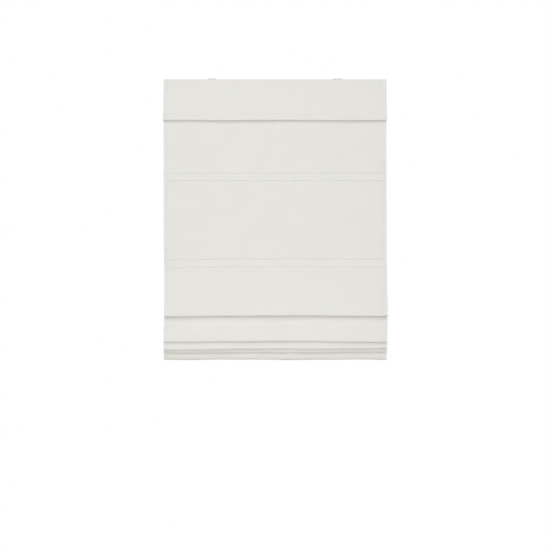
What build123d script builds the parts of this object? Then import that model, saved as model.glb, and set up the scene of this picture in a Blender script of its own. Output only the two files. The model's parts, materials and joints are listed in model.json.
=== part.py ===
"""A cordless roman blind, half raised, in millimetres.

+X runs along the headrail, +Y towards the window and +Z up. The origin is on the tops of the fixing
brackets, in the middle of their four screw holes. Drops are measured down from there.
"""

import os
from math import acos, cos, radians, sin, tan

from build123d import *

# Cloth
CLOTH_WIDTH = 800.0
CLOTH_THICK = 1.0
CLOTH_TOP_DROP = 3.0
BLIND_DROP = 1010.0
BOTTOM_SKIRT = 86.0
STACK_DEPTH = 42.0
HEM_HEIGHT = 26.0
HEM_SEAM_GAP = 0.3
BEND_SHARE = 0.45

# Flat pockets, down the drop, and the edges of the hanging folds, up from the bottom edge
FLAT_POCKET_SHARES = (0.3356, 0.6416)
FOLD_RISE_SHARES = (0.1579, 0.0653, 0.0386, 0.0252)

# How far forward the folds hang, as shares of the stack's depth
FOLD_FRONT_SHARES = (1.0, 0.857, 0.619, 0.37)
FOLD_BACK_SHARES = (0.714, 0.643, 0.405, 0.09)
KNEE_GAP_SHARE = 0.06
PLUMB_SHARE = 0.34
TURN_SHARE = 0.083
SHELF_SHARE = 0.131
SHELF_FALL_SHARE = 0.071

# Valance
VALANCE_DROP = 149.0
VALANCE_BAND = 28.0
VALANCE_LEAN = 10.0
VALANCE_HEM = 25.5
VALANCE_HEM_GAP = 0.5

# Rods, their pockets and rings
POCKET_HEIGHT = 28.0
POCKET_TAPE = 0.6
POCKET_INSET = 2.0
GATHER_GAP = 8.0
ROD_R = 2.0
ROD_TIP_R = 2.5
ROD_TIP_LENGTH = 12.0
ROD_TIP_BASE = 1.5
ROD_INSET = 5.0
ROD_HEIGHT_SHARE = 0.25
POCKET_GAP = 0.3
POCKET_MOUTH_SHARE = 0.7
RING_R = 5.0
RING_BORE_R = 3.0
RING_HEIGHT = 4.0
RING_TAB = 7.0
RING_STANDOFF = 11.2
RING_HEIGHT_SHARE = 0.72

# Bottom bar
BAR_HEIGHT = 20.0
BAR_THICK = 3.0
BAR_GAP = 0.5
BAR_CAP_LENGTH = 5.0
BAR_CAP_RIM = 0.3
BAR_INSET = 6.0

# Lift cords
CORD_R = 0.7
CORD_INSET = 92.0
CORD_TURNS = 20
STOP_R = 4.0
STOP_LENGTH = 9.0
STOP_BEVEL = 1.5

# Headrail, end caps and tapes
RAIL_INSET = 8.0
RAIL_DEPTH = 50.0
RAIL_HEIGHT = 28.0
RAIL_WALL = 1.2
RAIL_LIP = 8.0
RAIL_BEND_R = 1.5
END_CAP_THICK = 2.0
END_CAP_PLUG = 8.0
END_CAP_WALL = 1.6
END_CAP_FILLET = 0.8
TAPE_HEIGHT = 20.0
TAPE_INSET = 12.0
HOOK_TAPE = 1.2
LOOP_TAPE = 1.3
RUN_GAP = 0.3
JOURNAL_GAP = 0.08
CUT_OVERRUN = 1.0

# Fixing brackets and their latches
BRACKET_INSET = 167.0
BRACKET_WIDTH = 30.0
BRACKET_THICK = 1.5
BRACKET_CORNER_R = 4.0
HOOK_REACH = 5.0
SCREW_HOLE_R = 2.25
SCREW_OFFSET = 8.0
SCREW_SPREAD = 22.0
LATCH_OFFSET = 6.0
LATCH_BACK = 6.0
LATCH_PIN_R = 2.0
LATCH_PIN_HEAD_R = 3.4
LATCH_PIN_HEAD = 1.0
LATCH_HUB_R = 4.5
LATCH_WIDTH = 7.0
LATCH_LEVER = 2.0
LATCH_WING = 2.0
LATCH_LEVER_PROUD = 6.0
LATCH_WALL_GAP = 1.8

# Shaft, spools and cradles
SHAFT_FLATS = 6.0
SHAFT_INSET = 42.0
SHAFT_GAP = 0.1
SPOOL_GROOVE = 3.0
SPOOL_FLANGE = 1.5
SPOOL_BARREL = 36.0
SPOOL_LEAD = 4.0
JOURNAL_R = 4.5
JOURNAL_LENGTH = 4.0
CRADLE_FLOOR = 1.6
CRADLE_WALL = 2.5
CRADLE_MARGIN = 1.0
CRADLE_MOUTH = 7.0
CRADLE_RIM = 2.0
SPIGOT_R = 3.0
SPIGOT_BORE_R = 1.2
SPIGOT_PROUD = 1.5

# Spring motor
MOTOR_WALL = 1.5
MOTOR_FLOOR = 1.2
MOTOR_COVER = 1.2
MOTOR_HEADROOM = 2.0
MOTOR_GAP = 2.1
MOTOR_CORNER_R = 2.0
DRUM_LENGTH = 24.0
DRUM_FLANGE = 1.5
OUTPUT_STEP = 0.5
OUTPUT_RIM = 1.5
OUTPUT_ROLL = 1.5
STORAGE_STEP = 1.0
STORAGE_RIM = 1.0
STORAGE_HUB = 0.9
STORAGE_PIN_R = 1.5
DRUM_CLEARANCE = 1.0
SPRING_THICK = 0.6

# Places along the headrail, from its ends inward, with the motor midway between two cords
RAIL_LENGTH = CLOTH_WIDTH - 2 * RAIL_INSET
CORD_SPREAD = RAIL_LENGTH / 2 - CORD_INSET
BRACKET_SPREAD = RAIL_LENGTH / 2 - BRACKET_INSET
SHAFT_LENGTH = RAIL_LENGTH - 2 * SHAFT_INSET
MOTOR_X = CORD_SPREAD / 2

# Levels of the headrail, from the bracket tops down
RAIL_TOP = -(BRACKET_THICK + LATCH_LEVER + 2 * RUN_GAP)
RAIL_UNDER_LIP = RAIL_TOP - RAIL_WALL
RAIL_BOTTOM = RAIL_TOP - RAIL_HEIGHT
RAIL_FLOOR = RAIL_BOTTOM + RAIL_WALL
RAIL_HALF = RAIL_DEPTH / 2
RAIL_INNER_HALF = RAIL_HALF - RAIL_WALL
LIP_EDGE = RAIL_HALF - RAIL_LIP
LATCH_LEVER_REACH = RAIL_HALF + LATCH_LEVER_PROUD - LATCH_BACK
LATCH_WING_REACH = RAIL_INNER_HALF - LATCH_WALL_GAP - LATCH_BACK

# Radii of the spools and of the drum on the shaft, as large as the channel's height allows
SPOOL_ROOM = RAIL_UNDER_LIP - RAIL_FLOOR - CRADLE_FLOOR - RUN_GAP
SPOOL_FLANGE_R = (SPOOL_ROOM - DRUM_CLEARANCE - MOTOR_COVER - MOTOR_HEADROOM + OUTPUT_STEP) / 2
SPOOL_CORE_R = SPOOL_FLANGE_R - SPOOL_GROOVE
OUTPUT_FLANGE_R = SPOOL_FLANGE_R - OUTPUT_STEP
OUTPUT_WOUND_R = OUTPUT_FLANGE_R - OUTPUT_RIM
OUTPUT_CORE_R = OUTPUT_WOUND_R - OUTPUT_ROLL

# Planes of the cloth, the cords and the shaft
CLOTH_Y = -(RAIL_HALF + HOOK_TAPE + LOOP_TAPE + CLOTH_THICK / 2)
CLOTH_BACK = CLOTH_Y + CLOTH_THICK / 2
CORD_Y = CLOTH_BACK + RING_STANDOFF
SHAFT_Y = CORD_Y + CORD_R + RUN_GAP + SPOOL_CORE_R
SHAFT_Z = RAIL_FLOOR + CRADLE_FLOOR + RUN_GAP + SPOOL_FLANGE_R
CRADLE_WIDTH = 2 * (SHAFT_Y - CORD_Y + SPIGOT_R + CRADLE_MARGIN)
CORD_XS = (-CORD_SPREAD, 0, CORD_SPREAD)
CORD_NAMES = ("left", "middle", "right")
SIDES = (("left", -1), ("right", 1))

# Radii of the storage drum, which takes the depth left behind the drum on the shaft
STORAGE_ROOM = RAIL_INNER_HALF - MOTOR_GAP - MOTOR_WALL - 2 * DRUM_CLEARANCE - SHAFT_Y - OUTPUT_FLANGE_R
STORAGE_FLANGE_R = min(OUTPUT_FLANGE_R - STORAGE_STEP, STORAGE_ROOM / 2)
STORAGE_WOUND_R = STORAGE_FLANGE_R - STORAGE_RIM
STORAGE_CORE_R = STORAGE_PIN_R + JOURNAL_GAP + STORAGE_HUB

# Top line of each pocket: two in the flat cloth, four gathered above the bottom skirt
LOWEST_POCKET = -BLIND_DROP + BOTTOM_SKIRT + POCKET_HEIGHT
GATHER_PITCH = POCKET_HEIGHT + GATHER_GAP
POCKET_TOPS = [-share * BLIND_DROP for share in FLAT_POCKET_SHARES]
POCKET_TOPS += [LOWEST_POCKET + step * GATHER_PITCH for step in (3, 2, 1, 0)]
POCKET_R = ROD_TIP_R + POCKET_GAP
ROD_Y = CLOTH_BACK + POCKET_R
ROD_LENGTH = CLOTH_WIDTH - 2 * (ROD_INSET + ROD_TIP_BASE)

# Depth of the bottom hem, which holds the bar
HEM_DEPTH = BAR_THICK + 2 * BAR_GAP + CLOTH_THICK


def save(piece, name):
    """Labels a finished piece and writes it under that name."""
    piece.part.label = name
    export_step(piece.part, f"parts/{name}.step")


def bend_radii(points):
    """Radius at each corner of a route, as large as the shorter run beside it allows."""
    radii = []
    for before, corner, after in zip(points, points[1:], points[2:]):
        arriving = Vector(*corner) - Vector(*before)
        leaving = Vector(*after) - Vector(*corner)
        run = min(arriving.length, leaving.length)
        turn = radians(arriving.get_angle(leaving))
        radii.append(BEND_SHARE * run / tan(turn / 2))
    return radii


def sheet_section(points):
    """Section of a sheet of cloth that follows a route in the YZ plane."""
    with BuildSketch(Plane.YZ) as section:
        with BuildLine():
            FilletPolyline(*points, radius=bend_radii(points))
            offset(amount=CLOTH_THICK / 2, side=Side.BOTH)
        make_face()
    return section.sketch


def cloth_route():
    """Middle line of the main cloth, top to bottom: flat, then one hanging fold above each gathered rod."""
    turn = CLOTH_Y - TURN_SHARE * STACK_DEPTH
    shelf = CLOTH_Y - SHELF_SHARE * STACK_DEPTH
    shelf_fall = SHELF_FALL_SHARE * STACK_DEPTH
    bottom = -BLIND_DROP + CLOTH_THICK / 2
    pocket_bottom = POCKET_TOPS[1] - POCKET_HEIGHT
    plumb_end = pocket_bottom - PLUMB_SHARE * (pocket_bottom - bottom - FOLD_RISE_SHARES[0] * BLIND_DROP)
    route = [(CLOTH_Y, -CLOTH_TOP_DROP), (CLOTH_Y, plumb_end)]
    folds = zip(FOLD_RISE_SHARES, FOLD_FRONT_SHARES, FOLD_BACK_SHARES, POCKET_TOPS[2:])
    for rise, front, back, pocket_top in folds:
        if pocket_bottom < plumb_end:
            route += [(CLOTH_Y, pocket_bottom), (shelf, pocket_bottom - shelf_fall), (knee, edge)]
        edge = bottom + rise * BLIND_DROP
        knee = CLOTH_Y - (back - KNEE_GAP_SHARE) * STACK_DEPTH
        route += [(CLOTH_Y - front * STACK_DEPTH, edge), (CLOTH_Y - back * STACK_DEPTH, edge)]
        route += [(turn, pocket_top), (CLOTH_Y, pocket_top)]
        pocket_bottom = pocket_top - POCKET_HEIGHT
    hem_top = bottom + HEM_HEIGHT
    seam = CLOTH_Y + CLOTH_THICK + HEM_SEAM_GAP
    route += [(CLOTH_Y, bottom), (CLOTH_Y + HEM_DEPTH, bottom)]
    route += [(CLOTH_Y + HEM_DEPTH, hem_top - HEM_DEPTH / 2), (seam, hem_top)]
    return route


os.makedirs("parts", exist_ok=True)

# Main cloth, with its folds and its bottom hem
with BuildPart() as main_panel:
    extrude(sheet_section(cloth_route()), amount=CLOTH_WIDTH / 2, both=True)
save(main_panel, "main_panel")

# Valance, flat against the cloth at its top band and leaning forward below it
valance_y = CLOTH_Y - CLOTH_THICK
valance_bottom = -VALANCE_DROP + CLOTH_THICK / 2
valance_front = valance_y - VALANCE_LEAN
hem_back = valance_front + CLOTH_THICK + VALANCE_HEM_GAP
hem_slope = VALANCE_LEAN / (VALANCE_DROP - CLOTH_TOP_DROP - VALANCE_BAND)
valance_route = [
    (valance_y, -CLOTH_TOP_DROP),
    (valance_y, -CLOTH_TOP_DROP - VALANCE_BAND),
    (valance_front, valance_bottom),
    (hem_back, valance_bottom),
    (hem_back + hem_slope * VALANCE_HEM, valance_bottom + VALANCE_HEM),
]
with BuildPart() as valance:
    extrude(sheet_section(valance_route), amount=CLOTH_WIDTH / 2, both=True)
save(valance, "valance")

# Hook tape on the headrail and loop tape sewn to the cloth
tape_middle = (RAIL_TOP + RAIL_BOTTOM) / 2
tape_half_length = RAIL_LENGTH / 2 - TAPE_INSET
for name, thick, face in (("hook_tape", HOOK_TAPE, -RAIL_HALF), ("loop_tape", LOOP_TAPE, CLOTH_BACK + LOOP_TAPE)):
    with BuildPart() as tape:
        with BuildSketch(Plane.YZ):
            with Locations((face - thick / 2, tape_middle)):
                Rectangle(thick, TAPE_HEIGHT)
        extrude(amount=tape_half_length, both=True)
    save(tape, name)

# Headrail: a channel with in-turned lips and a round hole in the floor for each cord
with BuildPart() as headrail:
    with BuildSketch(Plane.YZ) as rail_section:
        with Locations((0, tape_middle)):
            RectangleRounded(RAIL_DEPTH, RAIL_HEIGHT, RAIL_BEND_R)
        with Locations((0, (RAIL_FLOOR + RAIL_UNDER_LIP) / 2)):
            Rectangle(2 * RAIL_INNER_HALF, RAIL_UNDER_LIP - RAIL_FLOOR, mode=Mode.SUBTRACT)
        with Locations((0, RAIL_TOP)):
            Rectangle(2 * LIP_EDGE, RAIL_HEIGHT, mode=Mode.SUBTRACT)
    extrude(amount=RAIL_LENGTH / 2, both=True)
    with BuildSketch(Plane.XY.offset(RAIL_FLOOR + CUT_OVERRUN)):
        with Locations(*[(x, CORD_Y) for x in CORD_XS]):
            Circle(SPIGOT_R + RUN_GAP)
    extrude(amount=-(RAIL_WALL + 2 * CUT_OVERRUN), mode=Mode.SUBTRACT)
save(headrail, "headrail")

# End caps: a cover plate with a hollow plug that fits inside the channel
plug_depth = 2 * (RAIL_INNER_HALF - RUN_GAP)
plug_height = RAIL_UNDER_LIP - RAIL_FLOOR - 2 * RUN_GAP
plug_middle = (RAIL_UNDER_LIP + RAIL_FLOOR) / 2
for side, sign in SIDES:
    with BuildPart() as end_cap:
        with BuildSketch(Plane.YZ.offset(sign * RAIL_LENGTH / 2)):
            with Locations((0, tape_middle)):
                RectangleRounded(RAIL_DEPTH, RAIL_HEIGHT, RAIL_BEND_R)
        extrude(amount=sign * END_CAP_THICK)
        outer = end_cap.faces().sort_by(Axis.X)[-1 if sign > 0 else 0]
        fillet(outer.edges(), radius=END_CAP_FILLET)
        with BuildSketch(Plane.YZ.offset(sign * RAIL_LENGTH / 2)):
            with Locations((0, plug_middle)):
                Rectangle(plug_depth, plug_height)
                Rectangle(plug_depth - 2 * END_CAP_WALL, plug_height - 2 * END_CAP_WALL, mode=Mode.SUBTRACT)
        extrude(amount=-sign * END_CAP_PLUG)
    save(end_cap, f"end_cap_{side}")

# Brackets: a plate over the headrail, a hook under its front lip and a pin for the latch
hook_foot_top = RAIL_UNDER_LIP - RUN_GAP
hook_foot_bottom = hook_foot_top - BRACKET_THICK
hook_leg_front = -LIP_EDGE + RUN_GAP
latch_top = -BRACKET_THICK - RUN_GAP
wing_top = RAIL_UNDER_LIP - RUN_GAP
latch_bottom = wing_top - LATCH_WING
pin_end = latch_bottom - RUN_GAP - LATCH_PIN_HEAD
for side, sign in SIDES:
    bracket_x = sign * BRACKET_SPREAD
    screw_x = bracket_x + sign * SCREW_OFFSET
    latch_x = bracket_x - sign * LATCH_OFFSET
    with BuildPart() as bracket:
        with BuildSketch():
            with Locations((bracket_x, 0)):
                RectangleRounded(BRACKET_WIDTH, RAIL_DEPTH, BRACKET_CORNER_R)
            with Locations((screw_x, SCREW_SPREAD / 2), (screw_x, -SCREW_SPREAD / 2)):
                Circle(SCREW_HOLE_R, mode=Mode.SUBTRACT)
        extrude(amount=-BRACKET_THICK)
        with BuildSketch(Plane.YZ.offset(bracket_x)):
            with BuildLine():
                Polyline(
                    (hook_leg_front, -BRACKET_THICK),
                    (hook_leg_front, hook_foot_top),
                    (hook_leg_front - HOOK_REACH, hook_foot_top),
                    (hook_leg_front - HOOK_REACH, hook_foot_bottom),
                    (hook_leg_front + BRACKET_THICK, hook_foot_bottom),
                    (hook_leg_front + BRACKET_THICK, -BRACKET_THICK),
                    close=True,
                )
            make_face()
        extrude(amount=BRACKET_WIDTH / 2 - BRACKET_CORNER_R, both=True)
        with BuildSketch(Plane.XY.offset(-BRACKET_THICK)):
            with Locations((latch_x, LATCH_BACK)):
                Circle(LATCH_PIN_R)
        extrude(amount=pin_end + BRACKET_THICK)
        with BuildSketch(Plane.XY.offset(pin_end)):
            with Locations((latch_x, LATCH_BACK)):
                Circle(LATCH_PIN_HEAD_R)
        extrude(amount=LATCH_PIN_HEAD)
    save(bracket, f"bracket_{side}")

    with BuildPart() as latch:
        with BuildSketch(Plane.XY.offset(latch_top)):
            with Locations((latch_x, LATCH_BACK)):
                Circle(LATCH_HUB_R)
        extrude(amount=latch_bottom - latch_top)
        with BuildSketch(Plane.XY.offset(latch_top)):
            with Locations((latch_x, LATCH_BACK + LATCH_LEVER_REACH / 2)):
                SlotOverall(LATCH_LEVER_REACH + LATCH_WIDTH, LATCH_WIDTH, rotation=90)
        extrude(amount=-LATCH_LEVER)
        with BuildSketch(Plane.XY.offset(wing_top)):
            with Locations((latch_x, LATCH_BACK + LATCH_WING_REACH / 2)):
                Rectangle(LATCH_WIDTH, LATCH_WING_REACH)
        extrude(amount=-LATCH_WING)
        with BuildSketch(Plane.XY.offset(latch_top)):
            with Locations((latch_x, LATCH_BACK)):
                Circle(LATCH_PIN_R + JOURNAL_GAP)
        extrude(amount=latch_bottom - latch_top, mode=Mode.SUBTRACT)
    save(latch, f"latch_{side}")

# Lift shaft, a hexagonal bar through every spool and the motor
with BuildPart() as lift_shaft:
    with BuildSketch(Plane.YZ):
        with Locations((SHAFT_Y, SHAFT_Z)):
            RegularPolygon(SHAFT_FLATS / 2, 6, major_radius=False)
    extrude(amount=SHAFT_LENGTH / 2, both=True)
save(lift_shaft, "lift_shaft")


def shaft_bore(start):
    """Hexagonal hole for the shaft, in the plane across it at start."""
    with BuildSketch(Plane.YZ.offset(start)) as bore:
        with Locations((SHAFT_Y, SHAFT_Z)):
            RegularPolygon(SHAFT_FLATS / 2 + SHAFT_GAP, 6, major_radius=False)
    return bore.sketch


# Spools, the cord wound on each, the cradles that carry them and the cords that hang from them
barrel_from = -SPOOL_LEAD
barrel_to = SPOOL_BARREL - SPOOL_LEAD
journal_from = barrel_from - SPOOL_FLANGE - JOURNAL_LENGTH
journal_to = barrel_to + SPOOL_FLANGE + JOURNAL_LENGTH
wall_from = barrel_from - SPOOL_FLANGE - RUN_GAP - CRADLE_WALL
wall_to = barrel_to + SPOOL_FLANGE + RUN_GAP + CRADLE_WALL
turns_from = CORD_R + RUN_GAP
wall_top = SHAFT_Z + JOURNAL_R + CRADLE_RIM
shaft_line = Axis((0, SHAFT_Y, SHAFT_Z), (1, 0, 0))
lowest_ring = POCKET_TOPS[-1] - POCKET_HEIGHT * (1 - RING_HEIGHT_SHARE)
stop_top = lowest_ring - RING_HEIGHT / 2
for name, cord_x in zip(CORD_NAMES, CORD_XS):
    with BuildPart() as spool:
        with BuildSketch(Plane((cord_x, SHAFT_Y, SHAFT_Z), x_dir=(1, 0, 0), z_dir=(0, -1, 0))):
            with BuildLine():
                Polyline(
                    (journal_from, 0),
                    (journal_from, JOURNAL_R),
                    (barrel_from - SPOOL_FLANGE, JOURNAL_R),
                    (barrel_from - SPOOL_FLANGE, SPOOL_FLANGE_R),
                    (barrel_from, SPOOL_FLANGE_R),
                    (barrel_from, SPOOL_CORE_R),
                    (barrel_to, SPOOL_CORE_R),
                    (barrel_to, SPOOL_FLANGE_R),
                    (barrel_to + SPOOL_FLANGE, SPOOL_FLANGE_R),
                    (barrel_to + SPOOL_FLANGE, JOURNAL_R),
                    (journal_to, JOURNAL_R),
                    (journal_to, 0),
                    close=True,
                )
            make_face()
        revolve(axis=shaft_line)
        extrude(shaft_bore(cord_x + journal_from), amount=journal_to - journal_from, mode=Mode.SUBTRACT)
    save(spool, f"spool_{name}")

    with BuildPart() as cord_turns:
        with BuildSketch(Plane((cord_x, SHAFT_Y, SHAFT_Z), x_dir=(1, 0, 0), z_dir=(0, -1, 0))):
            with Locations((turns_from + CORD_TURNS * CORD_R, SPOOL_CORE_R + JOURNAL_GAP + CORD_R)):
                Rectangle(2 * CORD_TURNS * CORD_R, 2 * CORD_R)
        revolve(axis=shaft_line)
    save(cord_turns, f"cord_turns_{name}")

    with BuildPart() as cradle:
        with BuildSketch(Plane.XY.offset(RAIL_FLOOR)):
            with Locations((cord_x + (wall_from + wall_to) / 2, SHAFT_Y)):
                Rectangle(wall_to - wall_from, CRADLE_WIDTH)
        extrude(amount=CRADLE_FLOOR)
        for wall in (wall_from, wall_to - CRADLE_WALL):
            with BuildSketch(Plane.YZ.offset(cord_x + wall)):
                with Locations((SHAFT_Y, (RAIL_FLOOR + wall_top) / 2)):
                    Rectangle(CRADLE_WIDTH, wall_top - RAIL_FLOOR)
                with Locations((SHAFT_Y, SHAFT_Z)):
                    Circle(JOURNAL_R + JOURNAL_GAP, mode=Mode.SUBTRACT)
                with Locations((SHAFT_Y, wall_top)):
                    Rectangle(CRADLE_MOUTH, 2 * (wall_top - SHAFT_Z), mode=Mode.SUBTRACT)
            extrude(amount=CRADLE_WALL)
        with BuildSketch(Plane.XY.offset(RAIL_FLOOR)):
            with Locations((cord_x, CORD_Y)):
                Circle(SPIGOT_R)
        extrude(amount=-(RAIL_WALL + SPIGOT_PROUD))
        with BuildSketch(Plane.XY.offset(RAIL_FLOOR + CRADLE_FLOOR)):
            with Locations((cord_x, CORD_Y)):
                Circle(SPIGOT_BORE_R)
        extrude(amount=-(CRADLE_FLOOR + RAIL_WALL + SPIGOT_PROUD), mode=Mode.SUBTRACT)
    save(cradle, f"cradle_{name}")

    with BuildPart() as lift_cord:
        with BuildSketch(Plane.XY.offset(SHAFT_Z)):
            with Locations((cord_x, CORD_Y)):
                Circle(CORD_R)
        extrude(amount=stop_top - STOP_LENGTH / 2 - SHAFT_Z)
    save(lift_cord, f"lift_cord_{name}")

# Spring motor: a tub and its cover, with the drums side by side
drum_spacing = OUTPUT_FLANGE_R + STORAGE_FLANGE_R + DRUM_CLEARANCE
storage_y = SHAFT_Y + drum_spacing
tub_front = SHAFT_Y - OUTPUT_FLANGE_R - DRUM_CLEARANCE - MOTOR_WALL
tub_back = storage_y + STORAGE_FLANGE_R + DRUM_CLEARANCE + MOTOR_WALL
tub_middle = (tub_front + tub_back) / 2
tub_inside = DRUM_LENGTH + 2 * (DRUM_FLANGE + RUN_GAP)
tub_length = tub_inside + 2 * MOTOR_WALL
tub_top = SHAFT_Z + OUTPUT_FLANGE_R + DRUM_CLEARANCE
with BuildPart() as motor_base:
    with BuildSketch(Plane.XY.offset(RAIL_FLOOR)):
        with Locations((MOTOR_X, tub_middle)):
            RectangleRounded(tub_length, tub_back - tub_front, MOTOR_CORNER_R)
    extrude(amount=tub_top - RAIL_FLOOR)
    with BuildSketch(Plane.XY.offset(RAIL_FLOOR + MOTOR_FLOOR)):
        with Locations((MOTOR_X, tub_middle)):
            Rectangle(tub_inside, tub_back - tub_front - 2 * MOTOR_WALL)
    extrude(amount=tub_top - RAIL_FLOOR, mode=Mode.SUBTRACT)
    with BuildSketch(Plane.YZ.offset(MOTOR_X)):
        with Locations((SHAFT_Y, SHAFT_Z)):
            Circle(JOURNAL_R + JOURNAL_GAP)
        with Locations((SHAFT_Y, SHAFT_Z + tub_top - RAIL_FLOOR)):
            Rectangle(2 * (JOURNAL_R + JOURNAL_GAP), 2 * (tub_top - RAIL_FLOOR))
        with Locations((storage_y, SHAFT_Z)):
            Circle(STORAGE_PIN_R + JOURNAL_GAP)
    extrude(amount=tub_length, both=True, mode=Mode.SUBTRACT)
save(motor_base, "motor_base")

with BuildPart() as motor_cover:
    with BuildSketch(Plane.XY.offset(tub_top)):
        with Locations((MOTOR_X, tub_middle)):
            RectangleRounded(tub_length, tub_back - tub_front, MOTOR_CORNER_R)
    extrude(amount=MOTOR_COVER)
save(motor_cover, "motor_cover")


def drum_section(axle_y, core_r, flange_r, journal_r, journal):
    """Half section of a spring drum above its axle, with a flange and a journal at each end."""
    core = DRUM_LENGTH / 2
    flange = core + DRUM_FLANGE
    with BuildSketch(Plane((MOTOR_X, axle_y, SHAFT_Z), x_dir=(1, 0, 0), z_dir=(0, -1, 0))) as half:
        with BuildLine():
            Polyline((0, 0), (flange + journal, 0), (flange + journal, journal_r), (flange, journal_r))
            Polyline((flange, journal_r), (flange, flange_r), (core, flange_r), (core, core_r), (0, core_r))
            Line((0, core_r), (0, 0))
        make_face()
        mirror(about=Plane.YZ)
    return half.sketch


with BuildPart() as output_drum:
    revolve(drum_section(SHAFT_Y, OUTPUT_CORE_R, OUTPUT_FLANGE_R, JOURNAL_R, JOURNAL_LENGTH), axis=shaft_line)
    extrude(shaft_bore(MOTOR_X), amount=tub_length, both=True, mode=Mode.SUBTRACT)
save(output_drum, "output_drum")

with BuildPart() as storage_drum:
    revolve(
        drum_section(storage_y, STORAGE_CORE_R, STORAGE_FLANGE_R, STORAGE_CORE_R, RUN_GAP / 2),
        axis=Axis((0, storage_y, SHAFT_Z), (1, 0, 0)),
    )
    with BuildSketch(Plane.YZ.offset(MOTOR_X)):
        with Locations((storage_y, SHAFT_Z)):
            Circle(STORAGE_PIN_R + JOURNAL_GAP)
    extrude(amount=tub_length, both=True, mode=Mode.SUBTRACT)
save(storage_drum, "storage_drum")

with BuildPart() as storage_pin:
    with BuildSketch(Plane.YZ.offset(MOTOR_X)):
        with Locations((storage_y, SHAFT_Z)):
            Circle(STORAGE_PIN_R)
    extrude(amount=tub_length / 2, both=True)
save(storage_pin, "storage_pin")

# Drive spring: its roll on each drum, joined by the span that crosses between them
output_mid_r = OUTPUT_WOUND_R - SPRING_THICK / 2
storage_mid_r = STORAGE_WOUND_R - SPRING_THICK / 2
cross_angle = acos((output_mid_r + storage_mid_r) / drum_spacing)
cross_y = cos(cross_angle)
cross_z = -sin(cross_angle)
with BuildPart() as drive_spring:
    with BuildSketch(Plane.YZ.offset(MOTOR_X)):
        with BuildLine():
            Line(
                (SHAFT_Y + output_mid_r * cross_y, SHAFT_Z + output_mid_r * cross_z),
                (storage_y - storage_mid_r * cross_y, SHAFT_Z - storage_mid_r * cross_z),
            )
            offset(amount=SPRING_THICK / 2, side=Side.BOTH)
        make_face()
        with Locations((SHAFT_Y, SHAFT_Z)):
            Circle(OUTPUT_WOUND_R)
            Circle(OUTPUT_CORE_R + RUN_GAP, mode=Mode.SUBTRACT)
        with Locations((storage_y, SHAFT_Z)):
            Circle(STORAGE_WOUND_R)
            Circle(STORAGE_CORE_R + RUN_GAP, mode=Mode.SUBTRACT)
    extrude(amount=DRUM_LENGTH / 2 - RUN_GAP, both=True)
save(drive_spring, "drive_spring")

# Rods, each with its tips, the pocket tape sewn over it and the rings that run on the cords
for number, pocket_top in enumerate(POCKET_TOPS, start=1):
    pocket_bottom = pocket_top - POCKET_HEIGHT
    rod_z = pocket_bottom + ROD_HEIGHT_SHARE * POCKET_HEIGHT
    ring_z = pocket_bottom + RING_HEIGHT_SHARE * POCKET_HEIGHT
    tape_back = CLOTH_BACK + POCKET_TAPE
    with BuildPart() as rod:
        with BuildSketch(Plane.YZ):
            with Locations((ROD_Y, rod_z)):
                Circle(ROD_R)
        extrude(amount=ROD_LENGTH / 2, both=True)
    save(rod, f"rod_{number}")

    with BuildPart() as rod_tips:
        with BuildSketch(Plane.YZ.offset(ROD_LENGTH / 2 + ROD_TIP_BASE)):
            with Locations((ROD_Y, rod_z)):
                Circle(ROD_TIP_R)
        extrude(amount=-ROD_TIP_LENGTH)
        chamfer(rod_tips.faces().sort_by(Axis.X)[-1].edges(), length=ROD_TIP_R - ROD_R)
        with BuildSketch(Plane.YZ.offset(ROD_LENGTH / 2)):
            with Locations((ROD_Y, rod_z)):
                Circle(ROD_R + JOURNAL_GAP)
        extrude(amount=-ROD_TIP_LENGTH, mode=Mode.SUBTRACT)
        mirror(about=Plane.YZ)
    save(rod_tips, f"rod_tips_{number}")

    with BuildPart() as rod_pocket:
        with BuildSketch(Plane.YZ):
            with Locations((CLOTH_BACK + POCKET_TAPE / 2, (pocket_top + pocket_bottom) / 2)):
                Rectangle(POCKET_TAPE, POCKET_HEIGHT)
            with Locations((ROD_Y, rod_z)):
                Circle(POCKET_R + POCKET_TAPE)
                Circle(POCKET_R, mode=Mode.SUBTRACT)
            with Locations((CLOTH_BACK - POCKET_TAPE, rod_z)):
                Rectangle(2 * POCKET_TAPE, 2 * POCKET_HEIGHT, mode=Mode.SUBTRACT)
            with Locations((CLOTH_BACK, rod_z)):
                Rectangle(2 * POCKET_TAPE, 2 * POCKET_MOUTH_SHARE * POCKET_R, mode=Mode.SUBTRACT)
        extrude(amount=CLOTH_WIDTH / 2 - POCKET_INSET, both=True)
    save(rod_pocket, f"rod_pocket_{number}")

    with BuildPart() as cord_rings:
        for cord_x in CORD_XS:
            with BuildSketch(Plane.XY.offset(ring_z - RING_HEIGHT / 2)):
                with Locations((cord_x, (tape_back + CORD_Y) / 2)):
                    Rectangle(RING_TAB, CORD_Y - tape_back)
                with Locations((cord_x, CORD_Y)):
                    Circle(RING_R)
                    Circle(RING_BORE_R, mode=Mode.SUBTRACT)
            extrude(amount=RING_HEIGHT)
    save(cord_rings, f"cord_rings_{number}")

# Cord stops, under the rings of the lowest rod
with BuildPart() as cord_stops:
    with BuildSketch(Plane.XY.offset(stop_top)):
        with Locations(*[(x, CORD_Y) for x in CORD_XS]):
            Circle(STOP_R)
    extrude(amount=-STOP_LENGTH)
    chamfer(cord_stops.faces().sort_by(Axis.Z)[:len(CORD_XS)].edges(), length=STOP_BEVEL)
    with BuildSketch(Plane.XY.offset(stop_top)):
        with Locations(*[(x, CORD_Y) for x in CORD_XS]):
            Circle(CORD_R + JOURNAL_GAP)
    extrude(amount=-STOP_LENGTH / 2, mode=Mode.SUBTRACT)
save(cord_stops, "cord_stops")

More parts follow.
